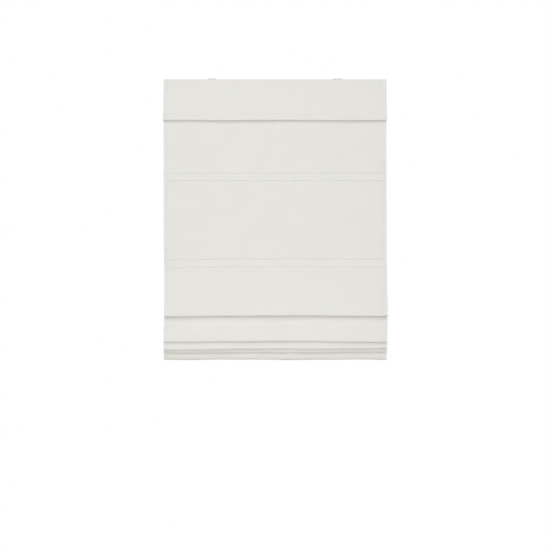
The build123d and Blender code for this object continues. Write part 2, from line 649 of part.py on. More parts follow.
# Bottom bar and its end caps, inside the bottom hem
bar_y = CLOTH_Y + HEM_DEPTH / 2
bar_z = -BLIND_DROP + CLOTH_THICK + BAR_GAP + BAR_HEIGHT / 2
bar_half = CLOTH_WIDTH / 2 - BAR_INSET - BAR_CAP_LENGTH
with BuildPart() as bottom_bar:
    with BuildSketch(Plane.YZ):
        with Locations((bar_y, bar_z)):
            RectangleRounded(BAR_THICK, BAR_HEIGHT, BAR_THICK / 2 - BAR_CAP_RIM)
    extrude(amount=bar_half, both=True)
save(bottom_bar, "bottom_bar")

with BuildPart() as bar_caps:
    with BuildSketch(Plane.YZ.offset(bar_half)):
        with Locations((bar_y, bar_z)):
            RectangleRounded(BAR_THICK + BAR_CAP_RIM, BAR_HEIGHT + BAR_CAP_RIM, BAR_THICK / 2)
    extrude(amount=BAR_CAP_LENGTH)
    mirror(about=Plane.YZ)
save(bar_caps, "bar_caps")
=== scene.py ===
# %% [markdown]
# # A cordless roman blind
# The blind is one long sheet of cloth that hangs from a headrail. Rods in sewn pockets gather the lower
# half into folds, and a spring in the headrail carries the weight, so no pull cord shows. The rails, rods
# and fittings come ready-made as a fixed frame. This lesson makes the cloth, the stitching and the cords
# round that frame, and gives every surface its finish. Lengths are in metres, and MM turns millimetres
# into metres.

# %% Load the frame
import json
import math

import bpy
import numpy as np
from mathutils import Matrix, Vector


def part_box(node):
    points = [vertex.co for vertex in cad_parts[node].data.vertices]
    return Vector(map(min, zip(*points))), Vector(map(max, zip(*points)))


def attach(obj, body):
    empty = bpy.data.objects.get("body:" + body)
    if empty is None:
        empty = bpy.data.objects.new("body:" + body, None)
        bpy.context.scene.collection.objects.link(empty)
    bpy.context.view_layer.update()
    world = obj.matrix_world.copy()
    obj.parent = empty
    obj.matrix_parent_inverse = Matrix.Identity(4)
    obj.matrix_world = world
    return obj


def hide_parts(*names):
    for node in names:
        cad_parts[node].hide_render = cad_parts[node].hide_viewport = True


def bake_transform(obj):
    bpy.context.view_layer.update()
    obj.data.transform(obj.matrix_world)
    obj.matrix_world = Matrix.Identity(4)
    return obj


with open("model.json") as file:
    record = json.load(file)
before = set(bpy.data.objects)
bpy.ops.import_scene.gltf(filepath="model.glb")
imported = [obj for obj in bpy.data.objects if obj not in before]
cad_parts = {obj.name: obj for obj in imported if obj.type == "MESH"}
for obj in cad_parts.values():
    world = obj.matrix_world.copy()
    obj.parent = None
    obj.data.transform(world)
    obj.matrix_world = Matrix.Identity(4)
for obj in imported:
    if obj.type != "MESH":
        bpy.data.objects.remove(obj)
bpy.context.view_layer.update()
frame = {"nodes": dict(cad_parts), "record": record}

MM = 0.001

# %% [markdown]
# ## Camera
# The photo looks straight at the blind through a long lens, so upright edges stay upright. The blind's
# width in the picture gives the scale: one pixel is 3.6 mm of cloth. A distant camera with a narrow angle
# keeps the folds, which stand forward, from looking larger than the flat cloth behind them.

# %% Camera
PHOTO_SIDE_PX = 550
PIXEL = 3.59 * MM
CAMERA_DISTANCE = 8.0
CAMERA_HEIGHT = -0.7055
SENSOR = 36.0
CLOTH_Y = -28.0 * MM

camera = bpy.data.objects.new("camera", bpy.data.cameras.new("camera"))
bpy.context.scene.collection.objects.link(camera)
camera.data.sensor_width = SENSOR
camera.data.lens = SENSOR * CAMERA_DISTANCE / (PHOTO_SIDE_PX * PIXEL)
camera.location = (0, CLOTH_Y - CAMERA_DISTANCE, CAMERA_HEIGHT)
camera.rotation_euler = (math.radians(90), 0, 0)
bpy.context.scene.camera = camera
bpy.context.scene.view_settings.view_transform = "Standard"
print("lens", round(camera.data.lens, 1), "mm at", CAMERA_DISTANCE, "m")

# %% [markdown]
# ## Lamps
# White cloth shows its seams only by small shadows. A soft lamp in front, level with the blind, gives an
# even white, and a larger one high above it draws a dark line under each fold and seam. Three weaker lamps
# light the back and the two sides. A sun lamp would be simpler, but the size of an area lamp sets how soft
# its shadows are.

# %% Lamps
BLIND_MIDDLE = Vector((0, CLOTH_Y, -0.55))

# Name, place, width and height in metres, and power in watts
LAMPS = [
    ("front_lamp", (-0.1, -3.4, -0.70), 3.0, 1.8, 62),
    ("key_lamp", (-0.35, -3.8, 2.8), 3.0, 4.0, 118),
    ("back_lamp", (0.6, 2.8, 0.8), 2.0, 2.0, 52),
    ("left_lamp", (-2.8, 0.9, -0.3), 1.2, 2.0, 16),
    ("right_lamp", (2.8, 0.9, -0.3), 1.2, 2.0, 16),
]

for name, place, width, height, power in LAMPS:
    lamp = bpy.data.objects.new(name, bpy.data.lights.new(name, "AREA"))
    lamp.data.shape = "RECTANGLE"
    lamp.data.size = width
    lamp.data.size_y = height
    lamp.data.energy = power
    lamp.location = place
    lamp.rotation_euler = (BLIND_MIDDLE - Vector(place)).to_track_quat("-Z", "Y").to_euler()
    bpy.context.scene.collection.objects.link(lamp)
    print(name, power, "W")

# %% [markdown]
# ## Backdrop
# The backdrop is plain white, as in a studio. At full strength it would light the cloth from every side and
# wash out the folds, so it is white only to the camera and a weak grey light to everything else. It is wired
# with the one small function that adds a node, sets its options and links its sockets, as all materials are.

# %% Backdrop
WORLD_LIGHT = 0.09
WHITE = (1, 1, 1, 1)


def add(owner, kind, inputs=None, **settings):
    """A new node with its settings. Inputs are values, or sockets to link."""
    node = owner.node_tree.nodes.new(kind)
    for name, value in settings.items():
        setattr(node, name, value)
    for name, value in (inputs or {}).items():
        if isinstance(value, bpy.types.NodeSocket):
            owner.node_tree.links.new(value, node.inputs[name])
        else:
            node.inputs[name].default_value = value
    return node


def link(owner, output, shader, socket):
    """Joins a node's output to a socket of the shader."""
    owner.node_tree.links.new(output, shader.inputs[socket])


world = bpy.data.worlds.new("studio")
bpy.context.scene.world = world
world.use_nodes = True
background = world.node_tree.nodes["Background"]
background.inputs["Color"].default_value = WHITE
seen = add(world, "ShaderNodeLightPath").outputs["Is Camera Ray"]
strength = add(world, "ShaderNodeMapRange", {"Value": seen, "To Min": WORLD_LIGHT})
link(world, strength.outputs["Result"], background, "Strength")
print("backdrop lights the cloth at", WORLD_LIGHT, "of its white")

# %% [markdown]
# ## Colours
# Colours are written as the hex codes that a picture program shows. Blender mixes light in linear values,
# so one function converts them. Linear values could be typed instead, but they are hard to read as colours.

# %% Colours


def colour(code):
    """Linear colour, with alpha, from an sRGB hex code, by the curve of the sRGB standard."""
    channels = [int(code[i:i + 2], 16) / 255 for i in (0, 2, 4)]
    return tuple(c / 12.92 if c <= 0.04045 else ((c + 0.055) / 1.055) ** 2.4 for c in channels) + (1.0,)


print("off-white in linear light", [round(c, 3) for c in colour("EFEEE9")])

# %% [markdown]
# ## Floor
# A pale painted floor lies below the blind's lowest reach and throws a little light up into the folds. It is
# small, so that it stays out of the front view. Matt paint has no pattern at this distance, so constants on
# the shader's own sockets are all that it needs.

# %% Floor
FLOOR_DROP = 1.90
FLOOR_HALF = 1.45
FLOOR_CORNERS = [(-1, -1), (1, -1), (1, 1), (-1, 1)]


def new_finish(name, **sockets):
    """A material and its shader, with the shader's own sockets set. Underscores stand for spaces."""
    material = bpy.data.materials.new(name)
    material.use_nodes = True
    shader = material.node_tree.nodes["Principled BSDF"]
    for socket, value in sockets.items():
        shader.inputs[socket.replace("_", " ")].default_value = value
    return material, shader


floor = bpy.data.objects.new("floor", bpy.data.meshes.new("floor"))
floor_points = [(FLOOR_HALF * x, FLOOR_HALF * y, -FLOOR_DROP) for x, y in FLOOR_CORNERS]
floor.data.from_pydata(floor_points, [], [(0, 1, 2, 3)])
floor_paint, _ = new_finish("matt_floor_paint", Base_Color=colour("E9E7E2"), Roughness=0.85)
floor.data.materials.append(floor_paint)
bpy.context.scene.collection.objects.link(floor)
print("floor", 2 * FLOOR_HALF, "m wide,", FLOOR_DROP, "m below the headrail")

# %% [markdown]
# ## Cloth: plain-woven polyester and cotton
# The blind is a plain weave: threads over and under one another in both directions, dyed off-white, with
# no pattern. The eye gets a matt surface, a soft edge glow from loose fibres and, close up, fine crossing
# ridges with thicker slubs here and there. The threads are about 0.5 mm apart, too fine for the render, so
# they are drawn 1 mm apart. The pattern follows the cloth through its folds by a map in metres.

# %% Cloth finish
THREAD_SPACING = 1.0 * MM
SLUB_LENGTH = 30.0 * MM
SLUB_WIDTH = 1.6 * MM
SHADE_PATCH = 90.0 * MM
CLOTH_RELIEF = 0.12 * MM
TAPE_RELIEF = 0.10 * MM
# A slub stands this many times as high as a thread
SLUB_RISE = 1.6

# One band of Blender's wave texture is a tenth of pi long at scale 1
WAVE_BAND = math.pi / 10

# A colour mix has its two colours at inputs 6 and 7, and its result at output 2
MIX_A, MIX_B, MIX_RESULT = 6, 7, 2


def plain_weave(name, light, dark, relief):
    """Woven cloth in two close colours, with threads standing out by relief."""
    cloth, shader = new_finish(
        name, Roughness=0.92, Specular_IOR_Level=0.2, Sheen_Weight=0.12, Sheen_Roughness=0.45
    )
    weave = add(cloth, "ShaderNodeUVMap", uv_map="weave").outputs["UV"]
    bands = {"Vector": weave, "Scale": WAVE_BAND / THREAD_SPACING}
    warp = add(cloth, "ShaderNodeTexWave", bands, bands_direction="X").outputs["Color"]
    weft = add(cloth, "ShaderNodeTexWave", bands, bands_direction="Y").outputs["Color"]
    along = add(cloth, "ShaderNodeMapping", {"Vector": weave, "Scale": (1 / SLUB_LENGTH, 1 / SLUB_WIDTH, 1)})
    slubs = add(cloth, "ShaderNodeTexNoise", {"Vector": along.outputs[0], "Scale": 1.0, "Detail": 2.0})
    threads = add(cloth, "ShaderNodeMath", {0: warp, 1: weft}, operation="MULTIPLY")
    heights = {0: slubs.outputs["Fac"], 1: SLUB_RISE, 2: threads.outputs[0]}
    height = add(cloth, "ShaderNodeMath", heights, operation="MULTIPLY_ADD")
    bump = add(cloth, "ShaderNodeBump", {"Height": height.outputs[0], "Strength": 0.5, "Distance": relief})
    link(cloth, bump.outputs["Normal"], shader, "Normal")
    patches = add(cloth, "ShaderNodeTexNoise", {"Vector": weave, "Scale": 1 / SHADE_PATCH, "Detail": 3.0})
    shades = {"Factor": patches.outputs["Fac"], MIX_A: colour(dark), MIX_B: colour(light)}
    tint = add(cloth, "ShaderNodeMix", shades, data_type="RGBA")
    link(cloth, tint.outputs[MIX_RESULT], shader, "Base Color")
    return cloth


blind_cloth = plain_weave("plain_weave_cloth", "EFEEE9", "EBEAE5", CLOTH_RELIEF)
tape_cloth = plain_weave("woven_pocket_tape", "F3F2EE", "EDECE7", TAPE_RELIEF)
print("woven finishes", blind_cloth.name, "and", tape_cloth.name)

# %% [markdown]
# ## Sizes of the cloth
# The main cloth is one sheet with six sewn pockets, one for each rod. The pockets have to lie where the
# ready-made rods are, so their tops and bottoms are read from the frame and not typed again.

# %% Sizes of the cloth
CLOTH_WIDTH = 800.0 * MM
HALF_WIDTH = CLOTH_WIDTH / 2
CLOTH_THICK = 1.0 * MM
CLOTH_TOP = -3.0 * MM
CLOTH_BOTTOM = -1009.5 * MM
ROD_NUMBERS = range(1, 7)

pocket_boxes = [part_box(f"rod_pocket_{number}") for number in ROD_NUMBERS]
pockets = [(high.z, low.z) for low, high in pocket_boxes]
print("pocket tops", [round(top, 3) for top, _ in pockets])

# %% [markdown]
# ## Easing corners and measuring a line
# Cloth never bends to a point. Its side view is drawn with straight runs, and each corner is then eased into
# a short curve. A curve object could bend the same way, but a sewer needs to know how much cloth a line
# takes, so this one is measured as it is drawn.

# %% Eased and measured lines
EASE_SHARE = 0.47
EASE_LIMIT = 20.0 * MM
EASE_STEPS = 11
LINE_STEP = 0.5 * MM


def eased(points, ratio):
    """The points joined by straight runs, with each corner eased into a curve.

    Ratio is how many times longer a curve may be on one side of its corner than on the other.
    """
    points = [np.array(p, float) for p in points]
    line = [points[0]]
    for before, corner, after in zip(points, points[1:], points[2:]):
        runs = [before - corner, after - corner]
        reach = [min(EASE_SHARE * np.linalg.norm(run), EASE_LIMIT) for run in runs]
        reach = [min(reach[0], ratio * reach[1]), min(reach[1], ratio * reach[0])]
        start, end = (corner + run / np.linalg.norm(run) * r for run, r in zip(runs, reach))
        for t in np.linspace(0, 1, EASE_STEPS):
            line.append((1 - t) ** 2 * start + 2 * t * (1 - t) * corner + t ** 2 * end)
    line.append(points[-1])
    return np.array(line)


def measured(points, ratio=1.0):
    """An eased line as length along it, place and front normal, at close even steps."""
    line = eased(points, ratio)
    lengths = np.concatenate([[0], np.cumsum(np.linalg.norm(np.diff(line, axis=0), axis=1))])
    s = np.linspace(0, lengths[-1], int(lengths[-1] / LINE_STEP) + 1)
    y = np.interp(s, lengths, line[:, 0])
    z = np.interp(s, lengths, line[:, 1])
    dy = np.gradient(y, s)
    dz = np.gradient(z, s)
    long = np.hypot(dy, dz)
    return {"s": s, "y": y, "z": z, "ny": dz / long, "nz": -dy / long}


print("corners eased over", round(EASE_LIMIT / MM), "mm at most")

# %% [markdown]
# ## The line that the cloth follows
# Seen from the side, the cloth is a single line. It drops flat past two pockets, swells forward and hangs
# in a fold over each gathered rod, then ends in the bottom hem. Drawing that line first and widening it to
# a sheet keeps every fold true to length, which a separate box for each fold would not.

# %% Side line of the cloth
PLUMB_END = -702.0 * MM
FOLD_EDGES = [z * MM for z in (-851.0, -943.8, -971.8, -984.2)]
FOLD_FRONTS = [y * MM for y in (-70.0, -64.0, -54.0, -44.5)]
FOLD_BACKS = [y * MM for y in (-58.0, -55.0, -45.0, -31.8)]
KNEE_GAPS = [gap * MM for gap in (9.0, 3.5, 2.0)]
KNEE_RISE = 16.0 * MM
BACK_RISE = 22.0 * MM
TURN_OUT = 3.5 * MM
SHELF_OUT = 5.5 * MM
SHELF_FALL = 3.0 * MM
HEM_BELLY = 5.0 * MM
BELLY_RISE = 12.0 * MM
HEM_HEIGHT = 26.0 * MM
HEM_DEPTH = 5.0 * MM
HEM_EDGE_BACK = 1.3 * MM
EASE_RATIO = 3.0

# Each fold leaves its pocket over a small shelf and comes forward to lie just behind the fold above
cloth_points = [(CLOTH_Y, CLOTH_TOP), (CLOTH_Y, PLUMB_END)]
folds = zip(FOLD_EDGES, FOLD_FRONTS, FOLD_BACKS, KNEE_GAPS + [0], pockets[2:])
for edge, front, back, knee_gap, (top, bottom) in folds:
    cloth_points += [(front, edge), (back, edge), (back, edge + BACK_RISE)]
    cloth_points += [(CLOTH_Y - TURN_OUT, top), (CLOTH_Y, top), (CLOTH_Y, bottom)]
    if bottom > pockets[-1][1]:
        shelf = (CLOTH_Y - SHELF_OUT, bottom - SHELF_FALL)
        cloth_points += [shelf, (back + knee_gap, edge + KNEE_RISE)]
hem_top = CLOTH_BOTTOM + HEM_HEIGHT
cloth_points.append((CLOTH_Y - HEM_BELLY, CLOTH_BOTTOM + BELLY_RISE))
cloth_points += [(CLOTH_Y, CLOTH_BOTTOM), (CLOTH_Y + HEM_DEPTH, CLOTH_BOTTOM)]
cloth_points += [(CLOTH_Y + HEM_DEPTH, hem_top - HEM_DEPTH / 2), (CLOTH_Y + HEM_EDGE_BACK, hem_top)]
cloth_line = measured(cloth_points, EASE_RATIO)
print("flat length of the main cloth", round(cloth_line["s"][-1], 4), "m")

# %% [markdown]
# ## Where the pockets and folds lie along the cloth
# Everything sewn is placed by its length along the cloth, as a sewer would mark it with a tape measure.
# The search walks down the line once and notes each pocket's ends, each fold's lowest point, and a place a
# little way up the back of the fold, where the sheet is cut so that it can move.

# %% Marks along the cloth
POCKET_MARGIN = 6.0 * MM
TURN_RISE = 18.0 * MM
PLANE_REACH = 2 * CLOTH_THICK


def lowest_between(line, start, end):
    """Length along a line to its lowest point between two lengths."""
    between = (line["s"] > start) & (line["s"] < end)
    return line["s"][np.where(between, line["z"], np.inf).argmin()]


def mark_at(height, start):
    """Length along the cloth where it next falls to a height, in the plane of the flat cloth."""
    flat = np.abs(cloth_line["y"] - CLOTH_Y) < PLANE_REACH
    return cloth_line["s"][np.argmax((cloth_line["s"] > start) & flat & (cloth_line["z"] < height))]


def mark_above(height, start):
    """Length along the cloth where it next rises to a height."""
    return cloth_line["s"][np.argmax((cloth_line["s"] > start) & (cloth_line["z"] > height))]


pocket_marks = []
for top, bottom in pockets:
    start = pocket_marks[-1][1] + POCKET_MARGIN if pocket_marks else 0.0
    pocket_marks.append((mark_at(top, start), mark_at(bottom + CLOTH_THICK, start)))
fold_marks = [
    lowest_between(cloth_line, above[1], below[0]) for above, below in zip(pocket_marks[1:], pocket_marks[2:])
]
turn_marks = [mark_above(edge + TURN_RISE, mark) for edge, mark in zip(FOLD_EDGES, fold_marks)]
bottom_mark = lowest_between(cloth_line, pocket_marks[-1][1], cloth_line["s"][-1])
print("pockets", [tuple(round(m, 3) for m in pair) for pair in pocket_marks])
print("fold edges", [round(m, 3) for m in fold_marks], "bottom", round(bottom_mark, 3))

# %% [markdown]
# ## Seams
# Each pocket is sewn along its top and bottom, and the bottom hem just inside its turned edge. The rows of
# the real blind lie a few millimetres off the pockets' ends, so each has a small drop of its own.

# %% Seams
SEAM_DROPS = [(3.6 * MM, 3.6 * MM), (2.4 * MM, 3.2 * MM)] + 4 * [(2.7 * MM, -2.0 * MM)]
SEAM_INSET = 2.0 * MM

pocket_seams = [
    (top + upper, bottom + lower) for (top, bottom), (upper, lower) in zip(pocket_marks, SEAM_DROPS)
]
hem_seam = bottom_mark - HEM_HEIGHT + SEAM_INSET
all_seams = [seam for pair in pocket_seams for seam in pair] + [hem_seam]
print("seams along the cloth", [round(seam, 3) for seam in all_seams])

# %% [markdown]
# ## Sags
# A hanging fold is never straight: its ends hang some millimetres below its middle, or above it where a value
# is negative, and the cloth drifts a little to one side. Both are lists of values at marks along the cloth,
# and the places between the marks are blended. The ends could be pulled by hand in sculpt mode, but a list
# keeps them in step at every cut of the sheet.

# %% Sags and shifts
# How far the left and right ends hang below the middle, at pocket 2 and at each fold
POCKET_SAGS = (2.5 * MM, 0)
FOLD_SAGS = [(3.6 * MM, 1.2 * MM), (2.9 * MM, 3.2 * MM), (4.0 * MM, -1.4 * MM), (0.5 * MM, -1.8 * MM)]
SAG_FROM = 100.0 * MM

# How far the cloth sits to the right
SHIFTS = [d * MM for d in (0, 0, 1.0, 4.0, 2.0, 1.5, 1.0, 0.5)]

flat_marks = [0, pocket_marks[0][1], pocket_marks[1][0]]
shift_marks = [*flat_marks, *fold_marks, bottom_mark]
sag_marks = list(flat_marks)
sags = [(0, 0), (0, 0), POCKET_SAGS]
for lowest, turn, (pocket_top, _), fold_sags in zip(fold_marks, turn_marks, pocket_marks[2:], FOLD_SAGS):
    sag_marks += [lowest, turn, pocket_top]
    sags += [fold_sags, (0, 0), (0, 0)]
left_sags, right_sags = zip(*sags)


def smooth(value):
    """The value kept between 0 and 1, with a soft start and end."""
    value = np.clip(value, 0, 1)
    return value * value * (3 - 2 * value)


def end_sag(x, s, end_sags):
    """How far the end of the cloth at positive x hangs below the middle."""
    return smooth((x - SAG_FROM) / (HALF_WIDTH - SAG_FROM)) * np.interp(s, sag_marks, end_sags)


print("largest sag", round(max(left_sags) / MM, 1), "mm left and", round(max(right_sags) / MM, 1), "mm right")

# %% [markdown]
# ## Puckers
# A seam squeezes the cloth into a shallow groove, and its thread gathers the cloth into small puckers at
# uneven distances. A picture of wrinkles would be flat from the side, so the puckers are real relief, written
# as waves whose spacing wanders.

# %% Puckers
PUCKER_HEIGHT = 0.25 * MM
PUCKER_LENGTH = 26.0 * MM
PUCKER_HALF = 14.0 * MM
PUCKER_DRIFT = 0.8
# How fast the spacing wanders across the cloth and from seam to seam, in radians per metre
PUCKER_TURN = 31
SEAM_TURN = 57


def bell(distance, half):
    """One at no distance, fading to almost nothing at twice the half."""
    return np.exp(-(distance / half) ** 2)


def puckers(x, s, seam, turn, phase):
    """Height of the gathered cloth beside one seam."""
    gather = np.sin(2 * math.pi * (x / PUCKER_LENGTH + PUCKER_DRIFT * np.sin(turn * x + phase)))
    return PUCKER_HEIGHT * bell(s - seam, PUCKER_HALF) * gather


print("puckers", round(PUCKER_LENGTH / MM), "mm apart on average")

# %% [markdown]
# ## How sewing and hanging shape the cloth
# Between the rods the cloth waves a little, and above each seam it puffs out. The side hems are doubled at
# the back. All of this is one function of the place across and along the cloth. It could be sculpted or
# simulated, but a function stays smooth where two lengths of the sheet meet.

# %% Shape of the main cloth
SEAM_DEPTH = 0.9 * MM
SEAM_HALF = 2.2 * MM
PUFF_HEIGHT = 1.1 * MM
PUFF_AWAY = 6.0 * MM
PUFF_HALF = 5.0 * MM
WAVE_HEIGHT = 1.0 * MM
WAVE_LENGTHS = (410.0 * MM, 173.0 * MM)
SMALL_WAVE_SHARE = 0.5
HOLD_HALF = 70.0 * MM
SIDE_HEM = 9.5 * MM
SIDE_HEM_BACK = 0.8 * MM
SIDE_HEM_FADE = 2.0 * MM
# Length of cloth, in metres, over which each wave drifts sideways by its own length
WAVE_SLANTS = (1.7, 0.9)


def place_on(line, s):
    """Place and front normal at length s along a side line."""
    return [np.interp(s, line["s"], line[key]) for key in ("y", "z", "ny", "nz")]


def cloth_shape(x, s, offset):
    """Points of the main cloth at x across and s along it, offset from its middle towards the front."""
    held = bell(s, HOLD_HALF)
    for top, bottom in pocket_marks:
        held = np.maximum(held, bell(np.maximum(np.maximum(top - s, s - bottom), 0), HOLD_HALF))
    large_wave = np.sin(2 * math.pi * (x / WAVE_LENGTHS[0] + s / WAVE_SLANTS[0]))
    small_wave = np.sin(2 * math.pi * (x / WAVE_LENGTHS[1] - s / WAVE_SLANTS[1]))
    lift = WAVE_HEIGHT * (1 - held) * (large_wave + SMALL_WAVE_SHARE * small_wave)
    pressed = np.zeros_like(s)
    for seam in all_seams:
        lift = lift + puckers(x, s, seam, PUCKER_TURN, SEAM_TURN * seam)
        lift = lift + PUFF_HEIGHT * bell(s - seam + PUFF_AWAY, PUFF_HALF)
        pressed = np.maximum(pressed, bell(s - seam, SEAM_HALF))
    past_hem = HALF_WIDTH - np.abs(x) - SIDE_HEM
    pressed = np.maximum(pressed, bell(past_hem, SEAM_HALF))
    doubled = SIDE_HEM_BACK * (1 - smooth(past_hem / SIDE_HEM_FADE)) * (1 - held)
    depth = lift + np.where(offset > 0, offset - SEAM_DEPTH * pressed, offset - doubled)
    sag = end_sag(-x, s, left_sags) + end_sag(x, s, right_sags)
    y, z, ny, nz = place_on(cloth_line, s)
    return np.stack([x + np.interp(s, shift_marks, SHIFTS), y + ny * depth, z + nz * depth - sag], axis=-1)


bottom_middle = cloth_shape(np.zeros(1), np.full(1, bottom_mark), 0)[0]
print("middle of the bottom edge", [round(v, 4) for v in bottom_middle.tolist()])

# %% [markdown]
# ## From points to a mesh
# A woven sheet has a front, a back and real edges. It is a grid of points for each face, the cloth's
# thickness apart, closed round the rim. A solidify modifier on one grid would do nearly the same, but here
# the back has a form of its own, without the front's seams. The map called weave stores where each point
# lies on the flat cloth, in metres, for the finish to use.

# %% Mesh maker
SHARP_ANGLE = math.radians(50)


def new_piece(name, points, faces, finish, slot, flat=None):
    """A smooth-shaded mesh object. Flat gives each point's place on the flat cloth."""
    mesh = bpy.data.meshes.new(name)
    mesh.from_pydata(points.tolist(), [], faces)
    mesh.shade_smooth()
    mesh.set_sharp_from_angle(angle=SHARP_ANGLE)
    if flat is not None:
        corners = np.zeros(len(mesh.loops), int)
        mesh.loops.foreach_get("vertex_index", corners)
        mesh.uv_layers.new(name="weave").data.foreach_set("uv", flat[corners].astype(np.float32).ravel())
    mesh.materials.append(finish)
    piece = bpy.data.objects.new(name, mesh)
    bpy.context.scene.collection.objects.link(piece)
    return piece


def grid_faces(rows, columns):
    """Faces of two grids of points, front then back, joined round the rim."""
    index = np.arange(rows * columns).reshape(rows, columns)
    a, b, c, d = index[:-1, :-1], index[1:, :-1], index[1:, 1:], index[:-1, 1:]
    front = np.stack([a, b, c, d], axis=-1).reshape(-1, 4)
    back = front[:, ::-1] + rows * columns
    rim = np.concatenate([index[:-1, 0], index[-1, :-1], index[:0:-1, -1], index[0, :0:-1]])
    following = np.roll(rim, -1)
    sides = np.stack([following, rim, rim + rows * columns, following + rows * columns], axis=-1)
    return np.concatenate([front, back, sides]).tolist()


print("a sheet of 3 by 3 points has", len(grid_faces(3, 3)), "faces")

# %% [markdown]
# ## From a shape to a sheet
# The points of a sheet could be evenly spaced, but then a seam would need a fine grid everywhere. Here rows
# crowd together at the seams and run wider between them, and columns do so at the side hems. The same
# function then makes every length of the blind's cloth.

# %% Sheet maker
ROW_STEP = 4.0 * MM
SEAM_ROWS = [d * MM for d in (-7, -4.5, -3, -1.8, -0.8, 0, 0.8, 1.8, 3, 4.5, 7)]
SIDE_HEM_COLUMNS = SEAM_ROWS[2:-2]
ROW_GAP = 0.6 * MM
COLUMNS = 190


def thinned(values):
    """Sorted values, without those that come too close after another."""
    kept = [min(values)]
    for value in sorted(values):
        if value - kept[-1] >= ROW_GAP:
            kept.append(value)
    kept[-1] = max(values)
    return np.array(kept)


hem_columns = [side * (HALF_WIDTH - SIDE_HEM + step) for side in (-1, 1) for step in SIDE_HEM_COLUMNS]
cloth_columns = thinned([*np.linspace(-HALF_WIDTH, HALF_WIDTH, COLUMNS), *hem_columns])


def sheet_on(name, shape, columns, rows, thick, finish, slot):
    """A sheet of that thickness on its shape, with points at the given places across and along it."""
    x, s = np.meshgrid(columns, rows)
    points = np.concatenate([shape(x, s, side * thick / 2).reshape(-1, 3) for side in (1, -1)])
    flat = np.tile(np.stack([x, s], axis=-1).reshape(-1, 2), (2, 1))
    return new_piece(name, points, grid_faces(len(rows), len(columns)), finish, slot, flat)


def blind_sheet(name, shape, start, end, seams):
    """A length of the blind's own cloth, from start to end along its shape."""
    rows = list(np.linspace(start, end, int((end - start) / ROW_STEP) + 1))
    rows += [seam + step for seam in seams for step in SEAM_ROWS if start < seam + step < end]
    return sheet_on(name, shape, cloth_columns, thinned(rows), CLOTH_THICK, blind_cloth, "blind_cloth")


print("columns across the cloth", len(cloth_columns))

# %% [markdown]
# ## Lengths of the main cloth
# The sheet is cut into lengths at the pockets and up the back of each fold. A fold's lowest line makes
# half of its rod's travel, as in a hanging loop of cloth. For each length, two levels are worked out, between
# which it would pass from following the upper rod to following the lower, so that two lengths would move
# equally where they meet. The lengths are listed with these levels, but are built fixed in place.

# %% Lengths of the main cloth
FOLD_TRAVEL_SHARE = 0.5

borders = [bottom + POCKET_MARGIN for _, bottom in pocket_marks[:2]]
fold_starts = [borders[1]] + [top for top, _ in pocket_marks[2:5]]

# Name, start and end along the cloth, what holds it above and below, and the two levels between which it
# passes from following the upper to following the lower
cloth_lengths = [
    ("cloth_upper", 0, borders[0], "root", "rod_1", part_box("headrail")[0].z, pockets[0][0]),
    ("cloth_middle", *borders, "rod_1", "rod_2", pockets[0][1] - POCKET_MARGIN, pockets[1][0]),
]
for fold, (start, turn, edge) in enumerate(zip(fold_starts, turn_marks, FOLD_EDGES), 1):
    above, below = f"rod_{fold + 1}", f"rod_{fold + 2}"
    hang_from = pockets[fold][1] - POCKET_MARGIN
    hang_to = pockets[fold + 1][0]
    front_to = hang_from + (edge - hang_from) / FOLD_TRAVEL_SHARE
    turn_z = np.interp(turn, cloth_line["s"], cloth_line["z"])
    turn_share = (turn_z - hang_from) / (front_to - hang_from)
    back_from = (turn_z - turn_share * hang_to) / (1 - turn_share)
    end = pocket_marks[fold + 1][0]
    cloth_lengths.append((f"fold_{fold}_front", start, turn, above, below, hang_from, front_to))
    cloth_lengths.append((f"fold_{fold}_back", turn, end, above, below, back_from, hang_to))
print("lengths", [length[0] for length in cloth_lengths])

# %% [markdown]
# ## Main cloth
# Each length hangs between the headrail and a rod, or between two rods. The skirt below the last rod holds
# the bottom bar and moves with that rod alone. Two lengths share their border points, so they look like the
# one sheet that the real cloth is.

# %% Main cloth


for name, start, end, above, below, blend_from, blend_to in cloth_lengths:
    cloth = blind_sheet(name, cloth_shape, start, end, all_seams)
    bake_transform(cloth)
    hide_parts("main_panel")
    print(name, round(end - start, 3), "m long,", len(cloth.data.polygons), "faces")
skirt_start = pocket_marks[5][0]
skirt = blind_sheet("cloth_skirt", cloth_shape, skirt_start, cloth_line["s"][-1], all_seams)
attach(skirt, "rod_6")
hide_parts("main_panel")

# %% [markdown]
# ## Side line of the valance
# A second flap of the same cloth covers the headrail. It is sewn along the top and hangs free, a little
# forward at the bottom, where its hem is turned up behind it. Drawn from the side as one line, it has the
# real double edge, which a flat strip would lack.

# %% Side line of the valance
VALANCE_Y = CLOTH_Y - CLOTH_THICK
VALANCE_BAND = 28.0 * MM
VALANCE_LEAN = 8.5 * MM
VALANCE_BOTTOM = -151.5 * MM
VALANCE_HEM = 25.5 * MM
VALANCE_HEM_GAP = 1.5 * MM

valance_front = VALANCE_Y - VALANCE_LEAN
hem_back = valance_front + VALANCE_HEM_GAP
valance_line = measured([
    (VALANCE_Y, CLOTH_TOP),
    (VALANCE_Y, CLOTH_TOP - VALANCE_BAND),
    (valance_front, VALANCE_BOTTOM),
    (hem_back, VALANCE_BOTTOM),
    (hem_back + CLOTH_THICK, VALANCE_BOTTOM + VALANCE_HEM),
])
valance_edge = lowest_between(valance_line, VALANCE_BAND, valance_line["s"][-1])
valance_seam = valance_edge - VALANCE_HEM + SEAM_INSET
print("flat length of the valance", round(valance_line["s"][-1], 4), "m, seam at", round(valance_seam, 4))

# %% [markdown]
# ## Valance
# The hem is stiffer than the cloth above it and flares a little wider. The free edge waves, the seam puckers,
# and one upper corner bulges a little. The flap could be a copy of the main cloth's top, but it hangs by
# itself, so it has a shape of its own from the same small functions.

